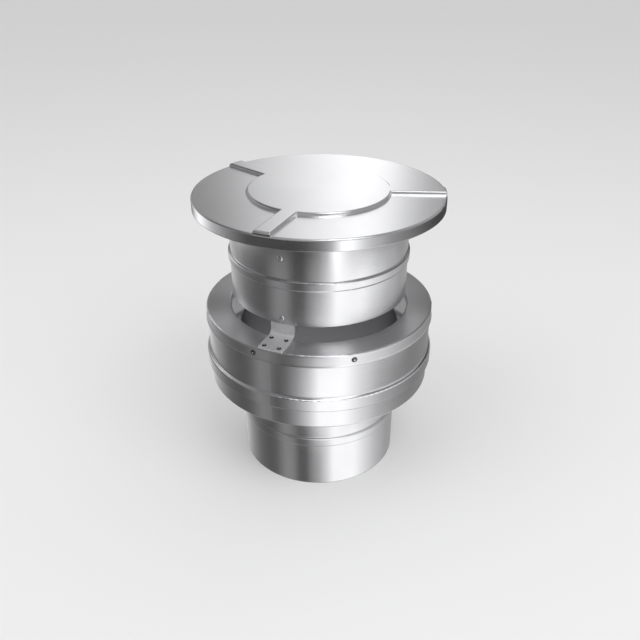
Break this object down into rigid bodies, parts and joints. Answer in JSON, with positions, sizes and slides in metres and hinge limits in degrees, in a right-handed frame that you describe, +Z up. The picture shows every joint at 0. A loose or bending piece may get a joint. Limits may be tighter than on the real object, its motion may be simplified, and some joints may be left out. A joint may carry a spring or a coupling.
{
  "type": "flue terminal cap",
  "caption": "Sheet-metal flue terminal: pressed rain lid over an open sleeve, a wide drum below it, and a plain spigot that fits inside the flue pipe.",
  "frame": {"origin": "centre of the spigot's open lower end, on the flue's axis", "axes": "+Z up along the flue's axis towards the lid, -Y to the front, where one lower bracket stands a little to the left"},
  "size_m": [0.22, 0.22, 0.2693],
  "materials": {
    "sheet": "bright rolled stainless sheet",
    "strap": "bright stainless strip",
    "rivet": "plain steel blind rivet"
  },
  "bodies": {
    "root": {"spigot_tube": "sheet", "base_ring": "sheet", "drum_shell": "sheet", "top_ring": "sheet", "sleeve": "sheet", "lid": "sheet", "lower_bracket_1": "strap", "lower_bracket_2": "strap", "upper_bracket_1": "strap", "upper_bracket_2": "strap", "upper_bracket_3": "strap", "ring_rivets": "rivet", "foot_rivets": "rivet", "leg_rivets": "rivet", "upper_bracket_rivets": "rivet"}
  },
  "joints": []
}
